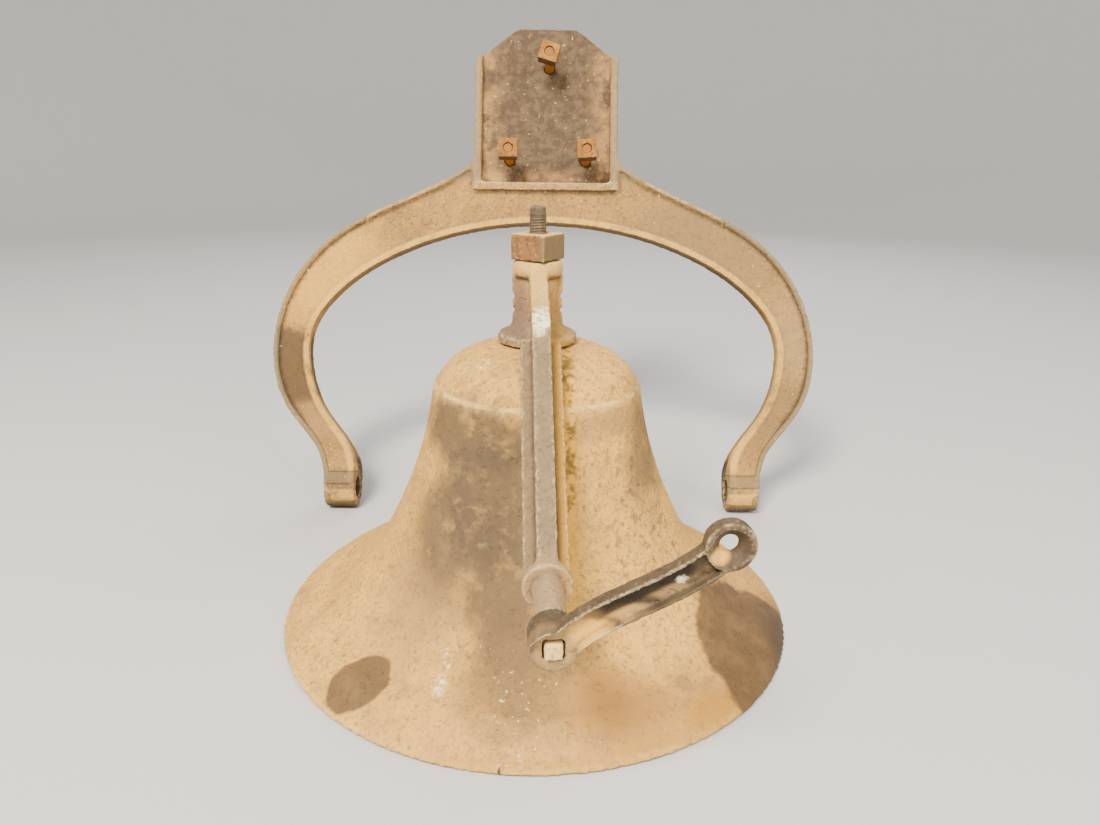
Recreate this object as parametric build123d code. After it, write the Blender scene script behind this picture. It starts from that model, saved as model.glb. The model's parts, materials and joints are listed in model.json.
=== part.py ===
"""Yard dinner bell, taken down: the bell stands on its mouth under its yoke, and the hanger leans behind it.

Millimetres, +Z up. The origin is the centre of the bell's mouth, on the surface that it stands on.
The yoke's crank side faces -Y. The hanger stands on its two bearing feet and leans back towards +Y.
"""

from build123d import *
import os

# --- bell ---------------------------------------------------------------------------------------
MOUTH_R = 196.85  # 15 1/2 inch mouth
CROWN_Z = 217.5  # seat of the yoke's foot
CROWN_UNDERSIDE_Z = 207.5
SHOULDER = (76.9, 188.2)  # outside crease between dome and waist
BOW = (167.8, 21.6)  # start of the raised sound bow
LIP = (195.2, 4.2)  # where the bow meets the rounded rim

# --- centre bolt, its nut and the clapper -------------------------------------------------------
STUD_R = 6.3  # half inch bolt
STUD_CLEARANCE = 0.4
STUD_TOP = 314.0
THREAD_PITCH, THREAD_DEPTH = 1.95, 0.75
THREAD_RUNOUT = 7.0  # plain end above the thread
NUT_SIDE, NUT_HEIGHT = 28.5, 19.0
NUT_TURN = 57.5  # degrees about Z
NUT_BORE_CLEARANCE = 0.05
FORK_W, FORK_D = 24.0, 25.0
FORK_SLOT = 9.2
FORK_TOP = 203.0
WASHER_R, WASHER_T = 17.0, 4.4
PIVOT_Z = 187.0  # the clapper's pivot
CLAPPER_LENGTH = 156.0  # from the pivot to the ball's centre
BALL_R = 22.0
BALL_COLLAR_R = 9.0
CLAPPER_ROD_R = 5.2
CLAPPER_EYE_R, CLAPPER_EYE_T = 11.0, 8.4
PIN_R, PIN_CLEARANCE = 4.0, 0.05
PIN_HEAD_R, PIN_HEAD_T = 7.0, 2.5
PIN_END = 18.0
COTTER_R, COTTER_Y = 1.1, 15.2

# --- yoke ---------------------------------------------------------------------------------------
YOKE_TURN = 3.2  # degrees about Z
YOKE_TOP = 277.0
YOKE_BORE_R = 6.9
TRUNNION_Z = 117.5  # height of the axis that the bell swings on
JOURNAL_R = 9.4
JOURNAL_END, REAR_JOURNAL_END = 217.0, 214.0  # from the bell's axis
COLLAR_R = 15.2
COLLAR_FROM, COLLAR_TO = 171.0, 179.0
SQUARE_SIDE, SQUARE_END = 10.4, 241.5
ARM_BEND_U, ARM_BEND_Z = 66.0, 247.5
ARM_END = 174.0  # inside the collar
ARM_RIB, ARM_FLANGE = 12.8, 28.0  # widths; the flange runs from the bend down
ARM_DEPTH, ARM_FLANGE_T = 24.0, 8.5  # measured upright
FIN_OUT, FIN_T = 18.4, 9.0
FIN_FROM, FIN_TO = 230.0, 266.0
NOTCH_R, NOTCHES_Z = 3.0, (241.0, 251.0)

# --- crank lever --------------------------------------------------------------------------------
CRANK_HUB_R = 13.2
CRANK_EYE_R, CRANK_EYE_HOLE_R, CRANK_EYE_T = 13.0, 4.8, 9.5
CRANK_EYE_DISH_R, CRANK_EYE_DISH = 9.6, 5.0
CRANK_EYE_X, CRANK_EYE_Z = 84.1, 57.7  # from the hub's centre
CRANK_FROM, CRANK_TO = 220.0, 243.5  # from the bell's axis
CRANK_ARM_T, CRANK_ARM_HALF_W = 9.5, 8.8
CRANK_CHANNEL_HALF_W, CRANK_CHANNEL = 6.4, 5.0  # the hub's face is flush with the channel
CRANK_RIM_W = 2.0
CRANK_RIM_FADE, CRANK_RIM_FULL = -5.0, 8.0  # heights between which the hub's rim rises
CRANK_SOCKET = 10.9

# --- hanger -------------------------------------------------------------------------------------
HANGER_X, HANGER_Y = 2.5, 181.0
HANGER_LEAN = 20.0  # degrees back from upright
BEARING_R = 9.45
FOOT_R = 21.0  # round bearing foot, so the bearing axis is this high
FOOT_IN, FOOT_OUT = 185.3, 217.0
FOOT_TAPER_FROM, FOOT_TAPER_TO = 20.0, 44.0
HANGER_D = 20.0
HALF_D = HANGER_D / 2
FRONT_RECESS, BACK_RECESS = 4.0, 4.0  # how far the web lies below its rims
RIM_W, INNER_RIM_W = 5.0, 4.0
RECESS_FROM = 66.0  # above the foot's end
POCKET_HALF_W, POCKET_T = 65.0, 10.0
POCKET_FLOOR = HALF_D - POCKET_T
PLATE_HALF_W, PLATE_TOP = 73.5, 494.5
LEDGE_TOP, LEDGE_W = 332.0, 8.5
BACK_PAD_MARGIN, BACK_PAD_DROP = 4.0, 30.0
OVERRUN = 20.0  # each half is drawn this far past the centre line

# Edges of the hanger's right arm: x from its centre line, and q above the foot's end.
OUTER = [
    (80.0, 348.0), (150.0, 311.5), (218.6, 272.5), (259.5, 220.0),
    (273.5, 160.0), (259.0, 101.0), (230.0, 64.0), (217.5, 38.0),
]
INNER = [
    (185.5, 34.0), (194.0, 64.0), (217.0, 95.0), (234.5, 140.0), (233.0, 180.0),
    (210.0, 215.0), (151.0, 256.0), (70.0, 283.0), (0.0, 290.0), (-OVERRUN, 289.5),
]

# --- the hanger's bolts for its post ------------------------------------------------------------
POST_BOLT_R, POST_BOLT_HOLE_R = 4.75, 5.2
POST_BOLT_RECESS = 1.5  # the bolt's end sits this deep in its nut
POST_NUT_SIDE, POST_NUT_T = 18.8, 12.0
POST_NUT_FACE = 40.0  # front of a nut above the pocket's floor
POST_HEAD_SIDE, POST_HEAD_T = 16.0, 6.5
# x, q and turn of each bolt
POST_BOLTS = {"top": (2.5, 452.0, 17.0), "left": (-37.0, 356.0, 0.0), "right": (40.5, 356.0, -4.0)}

PAST = 1.0  # cutters run past a face by this much


# --- small helpers ------------------------------------------------------------------------------
def save(name, solid):
    """Writes one node."""
    solid.label = name
    export_step(solid, f"parts/{name}.step")
    print(f"{name:22s} volume {solid.volume / 1000:9.2f} cm3")


def along_arm(shape):
    """From the yoke's own frame, whose front arm points along -Y, to the row's frame."""
    return Rot(0, 0, YOKE_TURN) * shape


def rod_y(radius, start, end, x=0.0, z=0.0):
    """A cylinder along Y from start to end."""
    middle = (start + end) / 2
    return Pos(x, middle, z) * Rot(90, 0, 0) * Cylinder(radius, abs(end - start))


def rod_x(radius, start, end, y=0.0, z=0.0):
    """A cylinder along X from start to end."""
    middle = (start + end) / 2
    return Pos(middle, y, z) * Rot(0, 90, 0) * Cylinder(radius, abs(end - start))


def block(x0, x1, y0, y1, z0, z1):
    """A box between two corners."""
    return Pos((x0 + x1) / 2, (y0 + y1) / 2, (z0 + z1) / 2) * Box(abs(x1 - x0), abs(y1 - y0), abs(z1 - z0))


def turned(face):
    """A face of the XZ plane, turned about Z."""
    return revolve(face, axis=Axis.Z)


def slab(face, y_front, y_back):
    """A face of the XZ plane made solid between two Y planes."""
    return Pos(0, y_back, 0) * extrude(face, amount=y_back - y_front, dir=(0, -1, 0))


def plate_yz(points, width):
    """A plate of this width, centred on X, from an outline of (y, z) points."""
    face = make_face(Polyline(*[(0.0, y, z) for y, z in points], close=True))
    return extrude(face, amount=width / 2, dir=(1, 0, 0), both=True)


# --- bell ---------------------------------------------------------------------------------------
def make_bell():
    """A thin cast bell: domed crown, a crease at the shoulder, a flaring waist and a raised sound bow."""
    dome = [(31.0, CROWN_Z), (50.0, 211.7), (62.0, 204.7), (70.0, 196.8), (75.2, 188.5)]
    waist = [
        (77.0, 184.5), (83.0, 153.5), (94.0, 118.0), (108.5, 84.6),
        (123.5, 58.0), (144.0, 36.0), (166.0, 21.0),
    ]
    inner_waist = [
        (180.5, 0.0), (157.0, 16.5), (132.0, 36.0), (113.5, 60.0),
        (99.5, 86.0), (85.8, 118.0), (75.0, 153.0), (69.0, 178.0),
    ]
    inner_dome = [inner_waist[-1], (63.0, 191.0), (50.0, 200.5), (30.0, CROWN_UNDERSIDE_Z)]
    hole_r = STUD_R + STUD_CLEARANCE
    rim = (LIP[0], 0.0)
    with BuildSketch(Plane.XZ) as section:
        with BuildLine():
            Polyline((hole_r, CROWN_UNDERSIDE_Z), (hole_r, CROWN_Z), dome[0])
            Spline(*dome)
            Polyline(dome[-1], SHOULDER, waist[0])
            Spline(*waist)
            Polyline(waist[-1], BOW)
            ThreePointArc(BOW, (183.5, 13.2), LIP)
            ThreePointArc(LIP, (MOUTH_R, LIP[1] / 2), rim)
            Polyline(rim, inner_waist[0])
            Spline(*inner_waist)
            Spline(*inner_dome)
            Polyline(inner_dome[-1], (hole_r, CROWN_UNDERSIDE_Z))
        make_face()
    return turned(section.sketch)


# --- yoke ---------------------------------------------------------------------------------------
def yoke_column():
    """The turned column: flared foot, waist and top collar."""
    flare = (22.0, 227.5)
    with BuildSketch(Plane.XZ) as section:
        with BuildLine():
            Polyline((YOKE_BORE_R, CROWN_Z), (28.0, CROWN_Z), (29.0, 219.0), (29.0, 223.5))
            Polyline((29.0, 223.5), (27.5, 225.5), flare)
            Spline(flare, (17.0, 234.0), (15.0, 246.0), (14.6, 264.0))
            Polyline((14.6, 264.0), (17.0, 266.0))
            ThreePointArc((17.0, 266.0), (18.4, 271.0), (16.8, YOKE_TOP))
            Polyline((16.8, YOKE_TOP), (YOKE_BORE_R, YOKE_TOP), (YOKE_BORE_R, CROWN_Z))
        make_face()
    return turned(section.sketch)


def yoke_fin(side):
    """The fin on one side of the column, with two half-round notches in its edge."""
    fin = block(side * COLLAR_R / 2, side * FIN_OUT, -FIN_T / 2, FIN_T / 2, FIN_FROM, FIN_TO)
    for z in NOTCHES_Z:
        fin -= rod_y(NOTCH_R, -FIN_T, FIN_T, x=side * (FIN_OUT + NOTCH_R / 3), z=z)
    return fin


def yoke_arm(sign):
    """One T-section arm, from the column out to the bend and down to its collar; sign -1 is the front."""
    root_u, low = 8.0, TRUNNION_Z - 13.5
    top = [(root_u, YOKE_TOP - 0.5), (ARM_BEND_U, ARM_BEND_Z), (ARM_END, TRUNNION_Z + 13.0)]
    under = [(ARM_END, low), (ARM_BEND_U - 9.0, ARM_BEND_Z - ARM_DEPTH), (root_u, YOKE_TOP - 25.0)]
    flange = under[:2] + [(u, z + ARM_FLANGE_T) for u, z in reversed(under[:2])]
    arm = plate_yz([(sign * u, z) for u, z in top + under], ARM_RIB)
    arm += plate_yz([(sign * u, z) for u, z in flange], ARM_FLANGE)
    return arm + rod_y(COLLAR_R, sign * COLLAR_FROM, sign * COLLAR_TO, z=TRUNNION_Z)


def make_yoke():
    """One casting: foot, column with notched side fins, collar, two arms and two trunnions."""
    yoke = yoke_column() + yoke_fin(-1) + yoke_fin(1)
    for sign in (-1, 1):
        yoke += yoke_arm(sign)
    yoke += Pos(0, 0, (CROWN_Z + YOKE_TOP) / 2) * Cylinder(12.0, YOKE_TOP - CROWN_Z - PAST)
    yoke += rod_y(JOURNAL_R, -COLLAR_FROM, -JOURNAL_END, z=TRUNNION_Z)
    yoke += rod_y(JOURNAL_R, COLLAR_FROM, REAR_JOURNAL_END, z=TRUNNION_Z)
    half = SQUARE_SIDE / 2
    yoke += block(-half, half, -COLLAR_TO, -SQUARE_END, TRUNNION_Z - half, TRUNNION_Z + half)
    yoke -= Pos(0, 0, (CROWN_Z + YOKE_TOP) / 2) * Cylinder(YOKE_BORE_R, 100.0)
    return along_arm(yoke)


# --- crank lever --------------------------------------------------------------------------------
def crank_path():
    """Centre line of the crank's arm in the XZ plane, from its hub to its eye."""
    points = [(0.0, 0.0), (16.0, 15.0), (48.0, 32.4), (67.0, 43.2), (CRANK_EYE_X, CRANK_EYE_Z)]
    return Spline(*[(x, 0.0, z) for x, z in points])


def beside(curve, margin, count):
    """Points beside a curve of the XZ plane, this far to the right of its direction."""
    spots = []
    for i in range(count + 1):
        point = curve.position_at(i / count)
        along = curve.tangent_at(i / count)
        spots.append((point.X + along.Z * margin, 0.0, point.Z - along.X * margin))
    return spots


def swept_bar(path, half_width, y_front, y_back):
    """A bar of this half width along a path in the XZ plane, between two Y planes."""
    left = beside(path, -half_width, 24)
    right = beside(path, half_width, 24)
    edge = Spline(*left) + Line(left[-1], right[-1]) + Spline(*reversed(right)) + Line(right[0], left[0])
    return slab(make_face(edge), y_front, y_back)


def make_crank():
    """The crank lever: square-socketed hub, channelled arm and a dished eye for the rope."""
    front, back = -CRANK_TO, -CRANK_FROM
    face = front + CRANK_CHANNEL
    path = crank_path()
    crank = swept_bar(path, CRANK_ARM_HALF_W, front, front + CRANK_ARM_T)
    rim = [(face, CRANK_RIM_FADE), (front, CRANK_RIM_FULL), (front, CRANK_HUB_R), (face, CRANK_HUB_R)]
    crank += rod_y(CRANK_HUB_R, front, face) & plate_yz(rim, 2 * CRANK_HUB_R)
    crank -= swept_bar(path, CRANK_CHANNEL_HALF_W, front - PAST, face)
    crank -= rod_y(CRANK_HUB_R - CRANK_RIM_W, front - PAST, face)
    crank += rod_y(CRANK_HUB_R, face, back)
    crank += rod_y(CRANK_HUB_R - 1.5, back, -JOURNAL_END - 0.4)
    crank += rod_y(CRANK_EYE_R, front, front + CRANK_EYE_T, x=CRANK_EYE_X, z=CRANK_EYE_Z)
    crank -= rod_y(CRANK_EYE_HOLE_R, front - PAST, back, x=CRANK_EYE_X, z=CRANK_EYE_Z)
    dish = Cone(CRANK_EYE_HOLE_R, CRANK_EYE_DISH_R, CRANK_EYE_DISH)
    crank -= Pos(CRANK_EYE_X, front + CRANK_EYE_DISH / 2, CRANK_EYE_Z) * Rot(90, 0, 0) * dish
    half = CRANK_SOCKET / 2
    crank -= block(-half, half, front - PAST, back + 5.0, -half, half)
    return along_arm(Pos(0, 0, TRUNNION_Z) * crank)


# --- centre bolt, nut and clapper ---------------------------------------------------------------
def make_clapper_bolt():
    """The bolt that clamps yoke and bell: threaded top, plain shank, and a fork inside for the clapper."""
    thread_from = YOKE_TOP + NUT_HEIGHT + 1.0
    profile = [(0.0, FORK_TOP - 3.0), (STUD_R, FORK_TOP - 3.0), (STUD_R, thread_from)]
    z = thread_from
    while z < STUD_TOP - THREAD_RUNOUT:
        profile += [(STUD_R - THREAD_DEPTH, z + THREAD_PITCH / 2), (STUD_R, z + THREAD_PITCH)]
        z += THREAD_PITCH
    end_r = STUD_R - THREAD_DEPTH
    profile += [(end_r, z + THREAD_DEPTH), (end_r, STUD_TOP - 0.8), (end_r - 0.8, STUD_TOP), (0.0, STUD_TOP)]
    bolt = turned(make_face(Polyline(*[(r, 0.0, h) for r, h in profile], close=True)))
    fork_low = PIVOT_Z - 10.0
    fork = block(-FORK_W / 2, FORK_W / 2, -FORK_D / 2, FORK_D / 2, fork_low, FORK_TOP)
    fork -= block(-FORK_W, FORK_W, -FORK_SLOT / 2, FORK_SLOT / 2, fork_low - PAST, PIVOT_Z + 11.5)
    fork -= rod_y(PIN_R + PIN_CLEARANCE, -FORK_D, FORK_D, z=PIVOT_Z)
    return along_arm(bolt + fork)


def make_crown_washer():
    """The iron washer between the fork's shoulder and the crown."""
    middle = (FORK_TOP + CROWN_UNDERSIDE_Z) / 2
    washer = Pos(0, 0, middle) * Cylinder(WASHER_R, WASHER_T)
    return washer - Pos(0, 0, middle) * Cylinder(STUD_R + STUD_CLEARANCE, WASHER_T + PAST)


def square_nut(side, height, bore, corner):
    """A square nut standing on z=0, its top corners rounded off by a cone."""
    nut = Pos(0, 0, height / 2) * Box(side, side, height)
    cone = Cone(side * 0.74 + height, side * 0.74 - corner, height + corner)
    nut &= Pos(0, 0, (height - corner) / 2) * cone
    return nut - Pos(0, 0, height / 2) * Cylinder(bore, height + 2 * PAST)


def make_yoke_nut():
    """The big square nut on the yoke's collar."""
    nut = square_nut(NUT_SIDE, NUT_HEIGHT, STUD_R + NUT_BORE_CLEARANCE, 1.4)
    return Pos(0, 0, YOKE_TOP) * Rot(0, 0, NUT_TURN) * nut


def make_clapper_rod():
    """The clapper's forged rod: a flat eye at the top, a thin end riveted through the ball."""
    half_t = CLAPPER_EYE_T / 2
    shank_top, rivet_r, rivet_t = -16.0, 5.4, 2.4
    ball_low = -CLAPPER_LENGTH - BALL_R
    rod = rod_y(CLAPPER_EYE_R, -half_t, half_t)
    rod -= rod_y(PIN_R + PIN_CLEARANCE, -half_t - PAST, half_t + PAST)
    rod += block(-6.5, 6.5, -half_t, half_t, -20.0, -7.5)
    rod += Pos(0, 0, (shank_top - CLAPPER_LENGTH) / 2) * Cylinder(CLAPPER_ROD_R, CLAPPER_LENGTH + shank_top)
    rod += Pos(0, 0, (ball_low - CLAPPER_LENGTH) / 2 + PAST) * Cylinder(3.6, BALL_R + PAST)
    rod += Pos(0, 0, ball_low + 0.5) * Cylinder(rivet_r, rivet_t)
    return along_arm(Pos(0, 0, PIVOT_Z) * rod)


def make_clapper_ball(rod):
    """The cast ball with a short collar, cored for the rod's end."""
    ball = Sphere(BALL_R) + Pos(0, 0, BALL_R - 1.0) * Cylinder(BALL_COLLAR_R, 5.0)
    return Pos(0, 0, PIVOT_Z - CLAPPER_LENGTH) * ball - rod


def make_clapper_pin():
    """The pin through the fork and the clapper's eye, with a flat head."""
    pin = rod_y(PIN_R, -FORK_D / 2, PIN_END) + rod_y(PIN_HEAD_R, -FORK_D / 2 - PIN_HEAD_T, -FORK_D / 2)
    pin -= rod_x(COTTER_R + PIN_CLEARANCE, -6.0, 6.0, y=COTTER_Y)
    return along_arm(Pos(0, 0, PIVOT_Z) * pin)


def make_cotter():
    """The split pin that keeps the clapper pin in: a looped head and a straight shank."""
    cotter = rod_x(COTTER_R, -7.0, 7.0, y=COTTER_Y)
    cotter += Pos(8.9, COTTER_Y, 0.0) * Rot(90, 0, 0) * Torus(2.2, 0.9)
    return along_arm(Pos(0, 0, PIVOT_Z) * cotter)


# --- hanger -------------------------------------------------------------------------------------
# The hanger's own frame: X across, Y through it with the front at -Y, Z up its height from the bearing axis.
def place_hanger(shape):
    """From the hanger's frame to the row's: leant back on its feet."""
    return Pos(HANGER_X, HANGER_Y, FOOT_R) * Rot(-HANGER_LEAN, 0, 0) * shape


def height(q):
    """Height above the bearing axis of a point q above the foot's end."""
    return q - FOOT_R


def xz(x, q):
    """A point of the hanger's middle plane."""
    return (x, 0.0, height(q))


def arm_curve(points):
    """A smooth edge of the hanger's right arm."""
    return Spline(*[xz(x, q) for x, q in points])


def half_face():
    """Outline of the right half of the hanger, run a little past its centre line."""
    shoulder, neck = (PLATE_HALF_W, 458.0), (PLATE_HALF_W, 357.0)
    plate = [(-OVERRUN, PLATE_TOP), (30.0, PLATE_TOP), (66.0, 466.0), shoulder, neck]
    edge = Polyline(*[xz(x, q) for x, q in plate + [OUTER[0]]])
    edge += arm_curve(OUTER)
    edge += Polyline(xz(*OUTER[-1]), xz(FOOT_OUT, FOOT_R), xz(FOOT_IN, FOOT_R), xz(*INNER[0]))
    edge += arm_curve(INNER)
    edge += Line(xz(*INNER[-1]), xz(*plate[0]))
    return make_face(edge)


def recess_face():
    """Outline of the sunk web between the arm's two rims."""
    outer = beside(arm_curve(OUTER), RIM_W, 14)
    inner = beside(arm_curve(INNER), INNER_RIM_W, 18)
    corner = (inner[-1][0], 0.0, outer[0][2])
    edge = Polyline(inner[-1], corner, outer[0]) + Spline(*outer) + Line(outer[-1], inner[0]) + Spline(*inner)
    return make_face(edge)


def make_foot(outline):
    """The right bearing foot: a round-ended block that thickens the arm."""
    front_taper = [(-FOOT_R, -0.1), (-FOOT_R, FOOT_TAPER_FROM), (-HALF_D, FOOT_TAPER_TO)]
    back_taper = [(-y, z) for y, z in reversed(front_taper)]
    wedge = Pos(FOOT_IN, 0, 0) * plate_yz(front_taper + back_taper, 100.0)
    return rod_x(FOOT_R, FOOT_IN, FOOT_OUT) + (wedge & slab(outline, -FOOT_R, FOOT_R))


def band(half_width, q_from, q_to):
    """A block across the hanger, thicker than it, between two heights."""
    return block(-half_width, half_width, -2 * HANGER_D, 2 * HANGER_D, height(q_from), height(q_to))


def make_hanger():
    """One casting: omega arms of channel section, a pocketed plate for the post, two bearing feet."""
    outline, recess = half_face(), recess_face()
    above = PLATE_TOP + 100.0
    feet = band(300.0, -50.0, RECESS_FROM)
    frame = band(PLATE_HALF_W, LEDGE_TOP - LEDGE_W, above)
    back_pad = band(PLATE_HALF_W + BACK_PAD_MARGIN, LEDGE_TOP - BACK_PAD_DROP, above)
    half = slab(outline, -HALF_D, HALF_D)
    half -= slab(recess, -HALF_D - PAST, -HALF_D + FRONT_RECESS) - frame - feet
    half -= slab(recess, HALF_D - BACK_RECESS, HALF_D + PAST) - back_pad - feet
    pocket_z = (height(LEDGE_TOP), height(above))
    half -= block(-POCKET_HALF_W, POCKET_HALF_W, -HALF_D - PAST, POCKET_FLOOR, *pocket_z)
    half += make_foot(outline)
    half -= rod_x(BEARING_R, FOOT_IN / 2, FOOT_OUT + FOOT_R)
    half &= block(0.0, 400.0, -60.0, 60.0, -60.0, 600.0)
    hanger = half + mirror(half, about=Plane.YZ)
    for x, q, _ in POST_BOLTS.values():
        hanger -= rod_y(POST_BOLT_HOLE_R, -2 * HANGER_D, 2 * HANGER_D, x=x, z=height(q))
    return hanger


def make_post_bolt(x, q, turn):
    """A square-headed bolt, its head on the plate's back, in the hanger's frame."""
    bolt = rod_y(POST_BOLT_R, POCKET_FLOOR - POST_NUT_FACE + POST_BOLT_RECESS, HALF_D + PAST)
    half = POST_HEAD_SIDE / 2
    bolt += Rot(0, turn * 1.7, 0) * block(-half, half, HALF_D, HALF_D + POST_HEAD_T, -half, half)
    return Pos(x, 0, height(q)) * bolt


def make_post_nut(x, q, turn):
    """Its square nut, standing off the pocket by the thickness of the post that it clamped."""
    nut = square_nut(POST_NUT_SIDE, POST_NUT_T, POST_BOLT_R + NUT_BORE_CLEARANCE, 0.8)
    seat = POCKET_FLOOR - POST_NUT_FACE + POST_NUT_T
    return Pos(x, seat, height(q)) * Rot(0, turn, 0) * Rot(90, 0, 0) * nut


def main():
    os.makedirs("parts", exist_ok=True)
    save("bell", make_bell())
    save("yoke", make_yoke())
    save("crank_lever", make_crank())
    save("clapper_bolt", make_clapper_bolt())
    save("crown_washer", make_crown_washer())
    save("yoke_nut", make_yoke_nut())
    rod = make_clapper_rod()
    save("clapper_rod", rod)
    save("clapper_ball", make_clapper_ball(rod))
    save("clapper_pin", make_clapper_pin())
    save("cotter", make_cotter())
    save("hanger", place_hanger(make_hanger()))
    for name, (x, q, turn) in POST_BOLTS.items():
        save(f"post_bolt_{name}", place_hanger(make_post_bolt(x, q, turn)))
        save(f"post_nut_{name}", place_hanger(make_post_nut(x, q, turn)))


main()
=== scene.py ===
"""Looks of a yard dinner bell: rusty, dusty iron castings on a plain pale floor.

Metres, in the part's own frame: +Z up, the middle of the bell's mouth at the origin, its crank towards -Y.
"""

import json
import math

import bpy
import numpy as np
from mathutils import Matrix, Vector, noise
from mathutils.kdtree import KDTree

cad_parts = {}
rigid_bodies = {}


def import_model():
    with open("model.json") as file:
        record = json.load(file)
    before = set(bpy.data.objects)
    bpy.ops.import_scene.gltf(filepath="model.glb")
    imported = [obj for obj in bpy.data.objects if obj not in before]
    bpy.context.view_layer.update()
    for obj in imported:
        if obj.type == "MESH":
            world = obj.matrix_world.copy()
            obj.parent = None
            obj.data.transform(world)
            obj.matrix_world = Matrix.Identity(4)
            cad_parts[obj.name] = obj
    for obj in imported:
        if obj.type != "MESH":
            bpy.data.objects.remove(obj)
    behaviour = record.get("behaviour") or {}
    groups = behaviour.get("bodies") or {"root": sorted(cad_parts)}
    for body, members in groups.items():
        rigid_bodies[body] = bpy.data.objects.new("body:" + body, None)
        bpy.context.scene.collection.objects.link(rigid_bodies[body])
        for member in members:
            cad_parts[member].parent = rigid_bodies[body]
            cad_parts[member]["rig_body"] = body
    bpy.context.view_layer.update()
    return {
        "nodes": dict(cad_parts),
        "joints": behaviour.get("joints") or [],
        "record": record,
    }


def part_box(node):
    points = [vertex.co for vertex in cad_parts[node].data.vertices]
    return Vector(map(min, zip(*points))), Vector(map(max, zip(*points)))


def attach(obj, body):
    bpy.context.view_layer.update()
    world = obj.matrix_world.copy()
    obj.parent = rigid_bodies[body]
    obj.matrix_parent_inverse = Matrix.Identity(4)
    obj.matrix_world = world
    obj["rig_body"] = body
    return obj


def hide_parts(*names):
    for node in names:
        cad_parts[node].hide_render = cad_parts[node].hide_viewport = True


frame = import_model()

MM = 0.001

# --- the frame's own places ---------------------------------------------------------------------
MOUNTS = {mount["name"]: mount for mount in frame["record"]["mounts"]}
SWING = next(joint for joint in frame["joints"] if joint["name"] == "bell_swing")
YOKE_TURN = math.atan2(-SWING["axis"][0], SWING["axis"][1])
NUT_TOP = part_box("yoke_nut")[1].z
STUD_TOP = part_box("clapper_bolt")[1].z
SQUARE_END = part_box("yoke")[0].y
BEARING = (Vector(MOUNTS["bearing_left"]["pos_m"]) + Vector(MOUNTS["bearing_right"]["pos_m"])) / 2
POST_NORMAL = Vector(MOUNTS["post_face"]["axis"])
HANGER_LEAN = math.asin(POST_NORMAL.z)
HANGER_UP = Vector((0, math.sin(HANGER_LEAN), math.cos(HANGER_LEAN)))
TO_YOKE = Matrix.Rotation(YOKE_TURN, 4, "Z")
TO_HANGER = Matrix.Translation(BEARING) @ Matrix.Rotation(-HANGER_LEAN, 4, "X")

# --- the hanger's shape, in millimetres from its bearings ---------------------------------------
ARCH_CENTRE, ARCH_TOP = 130.0, 272.0  # heights
RIM_FRONT, COVE_DEEP, COVE_W, COVE_FROM = 10.0, 4.0, 10.0, 48.0  # the inner rim's front face, and its cove
WEB_FROM, RAMP = 45.0, 26.0  # where the sunk web starts, and how long it takes to reach its depth
SIDE_DEPTH = 3.0  # the arm's sides are found this near its middle plane
COVE_LIP, COVE_FADE = 0.8, 10.0  # flat edge beside the cove, and the height over which the cove begins
FAR = 50.0  # distances to the arm's sides stop here

# --- places that the paint follows, in metres ---------------------------------------------------
CREASE_Z = 0.1882  # between the bell's dome and waist
RIB_HALF_W = 0.0064  # of the yoke's arms
LEDGE, POCKET_HALF_W = 0.311, 0.065  # of the hanger's plate, above its bearings
CRANK_RISE = math.radians(28.7)  # how steeply the crank's arm climbs

# --- the skins of the castings ------------------------------------------------------------------
COARSE, FINE = 0.6, 0.4  # shares of large and small unevenness
SHARP_ROUNDS, RELIEF_ROUNDS = 8, 14  # how far an edge and a hollow are felt
SHARP = 0.4 * MM  # an edge that stands out this far is chipped in full


def on_hanger(x, y, z):
    """A place of the row from one of the hanger: x across, y through it, z up its height, in millimetres."""
    return TO_HANGER @ (Vector((x, y, z)) * MM)


def on_yoke(x, y, z):
    """A place of the row from one beside the yoke's arms, in millimetres."""
    return TO_YOKE @ (Vector((x, y, z)) * MM)


def millimetres(*values):
    return Vector(values) * MM


YOKE_ACROSS = on_yoke(1000, 0, 0)


# --- mesh work ----------------------------------------------------------------------------------
def neighbours_mean(values, edges):
    """Each vertex's mean over its neighbours."""
    count = len(values)
    first, second = edges[:, 0], edges[:, 1]
    degree = np.bincount(edges.ravel(), minlength=count)
    total = np.empty_like(values)
    for axis in range(values.shape[1]):
        column = values[:, axis]
        total[:, axis] = np.bincount(first, column[second], count) + np.bincount(second, column[first], count)
    return total / np.maximum(degree, 1)[:, None]


def smoothed(values, edges, rounds):
    for _ in range(rounds):
        values = (values + neighbours_mean(values, edges)) / 2
    return values


def read(mesh, kind, field, width, dtype=float):
    """One field of a mesh as an array."""
    rows = getattr(mesh, kind)
    flat = np.empty(len(rows) * width, np.float32 if dtype is float else dtype)
    rows.foreach_get(field, flat)
    return flat.reshape(-1, width).astype(dtype)


def reskinned(node, voxel):
    """A new mesh with the node's shape and even, small faces."""
    source = bpy.data.objects.new("skin", frame["nodes"][node].data.copy())
    bpy.context.scene.collection.objects.link(source)
    skin = source.modifiers.new("skin", "REMESH")
    skin.mode = "VOXEL"
    skin.voxel_size = voxel
    bpy.context.view_layer.update()
    mesh = bpy.data.meshes.new_from_object(source.evaluated_get(bpy.context.evaluated_depsgraph_get()))
    bpy.data.objects.remove(source)
    return mesh


def roughness_field(places, size, seed):
    """Cast-iron unevenness at each place, from 0 to about 1."""
    shift = Vector((seed * 7.3, seed * 3.1, seed * 5.7))
    return np.array([noise.fractal(Vector(p) / size + shift, 1.0, 2.0, 3) for p in places]) * 0.5 + 0.5


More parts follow.
